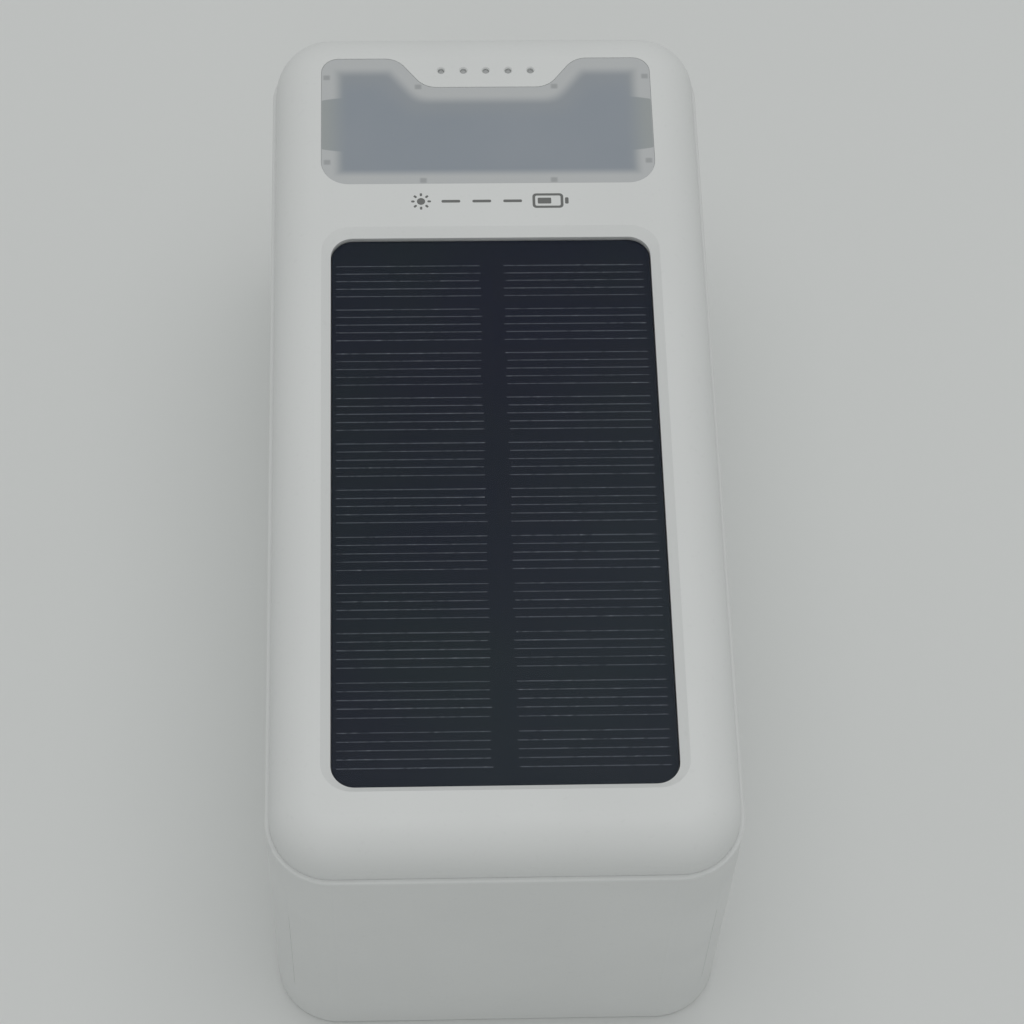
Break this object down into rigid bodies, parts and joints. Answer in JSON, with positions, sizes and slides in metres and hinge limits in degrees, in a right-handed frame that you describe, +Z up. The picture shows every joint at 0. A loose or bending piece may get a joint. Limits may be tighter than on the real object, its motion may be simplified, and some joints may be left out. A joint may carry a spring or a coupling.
{
  "type": "solar phone charger",
  "caption": "Box-shaped power bank with a solar panel and a frosted lamp on top, USB sockets at one end, charge lights and a side power button.",
  "frame": {"origin": "centre of the base case's flat underside", "axes": "+X across the width towards the power button, +Y along the length towards the sockets, +Z up towards the solar panel"},
  "size_m": [0.0796, 0.1694, 0.0755],
  "materials": {
    "case_plastic": "fine matt moulded texture",
    "print_ink": "pad-printed ink",
    "button_plastic": "fine matt moulded texture",
    "panel_sheet": "clear cast resin with a faint sparkle",
    "silicon": "dark blue-black with faint printed lines",
    "panel_backing": "dark laminate",
    "tape": "thin foam tape",
    "frosted_lens": "milky frosted",
    "white_plastic": "bright white reflector",
    "black_plastic": "satin moulded",
    "circuit_board": "solder mask over woven glass laminate",
    "white_board": "white solder mask",
    "lamp_phosphor": "yellow phosphor in white packages",
    "socket_steel": "bright drawn sheet",
    "screw_steel": "zinc plated",
    "contact_gold": "plated contact",
    "ferrite": "grey pressed powder",
    "capacitor_can": "bright can",
    "cell_sleeve": "coloured sleeve over a can",
    "nickel": "satin rolled strip",
    "card": "thin fibre sheet",
    "foam": "open foam",
    "red_wire": "soft insulation",
    "black_wire": "soft insulation",
    "white_wire": "soft insulation"
  },
  "bodies": {
    "charger": {"base_case": "case_plastic", "top_cover": "case_plastic", "printed_mark": "print_ink", "panel_tape": "tape", "solar_backing": "panel_backing", "solar_cells": "silicon", "solar_top_sheet": "panel_sheet", "lamp_lens": "frosted_lens", "lamp_reflector": "white_plastic", "light_board": "white_board", "lamp_leds": "lamp_phosphor", "indicator_leds": "lamp_phosphor", "indicator_shroud": "black_plastic", "light_board_screws": "screw_steel", "main_board": "circuit_board", "main_board_screws": "screw_steel", "usb_a_shell_1": "socket_steel", "usb_a_shell_2": "socket_steel", "usb_a_insulator_1": "black_plastic", "usb_a_insulator_2": "black_plastic", "usb_a_contacts": "contact_gold", "usb_c_shell": "socket_steel", "usb_c_tongue": "black_plastic", "micro_usb_shell": "socket_steel", "micro_usb_tongue": "black_plastic", "power_switch": "black_plastic", "power_inductors": "ferrite", "capacitors": "capacitor_can", "control_chips": "black_plastic", "battery_cells": "cell_sleeve", "cell_holder_left": "black_plastic", "cell_holder_right": "black_plastic", "nickel_strips_left": "nickel", "nickel_strips_right": "nickel", "insulation_sheet": "card", "pack_foam": "foam", "battery_lead_positive": "red_wire", "battery_lead_negative": "black_wire", "solar_leads": "white_wire", "lamp_leads": "white_wire"},
    "button": {"power_button": "button_plastic", "switch_plunger": "white_plastic"}
  },
  "joints": [
    {"name": "button_press", "type": "slide", "parent": "charger", "child": "button", "axis": [-1, 0, 0], "range_m": [0, 0.00035], "stiffness_N_per_m": 1500}
  ]
}
